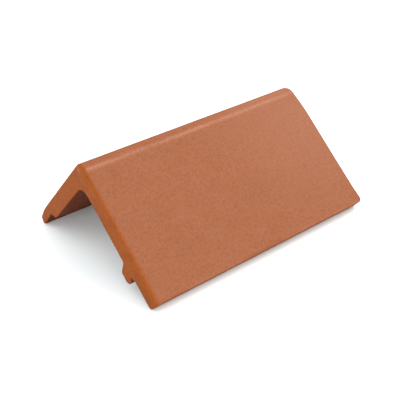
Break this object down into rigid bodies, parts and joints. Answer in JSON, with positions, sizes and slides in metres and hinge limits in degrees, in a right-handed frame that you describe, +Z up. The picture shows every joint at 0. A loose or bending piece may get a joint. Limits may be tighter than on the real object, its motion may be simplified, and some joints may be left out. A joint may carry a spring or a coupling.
{
  "type": "angle ridge tile",
  "caption": "Angle ridge tile: a V-shaped bar of plain fired clay that caps a roof's ridge, with a rounded ridge, a rib under one wing and a stepped lip under the other.",
  "frame": {"origin": "centre of the bounding box, on the floor that the tile's two lower edges stand on", "axes": "+X along the ridge, +Z up, +Y towards the wing with the stepped lip; the ribbed wing falls towards -Y"},
  "size_m": [0.3, 0.2456, 0.1238],
  "materials": {
    "fired_clay": "matte, unglazed"
  },
  "bodies": {
    "root": {"ridge_tile": "fired_clay"}
  },
  "joints": []
}
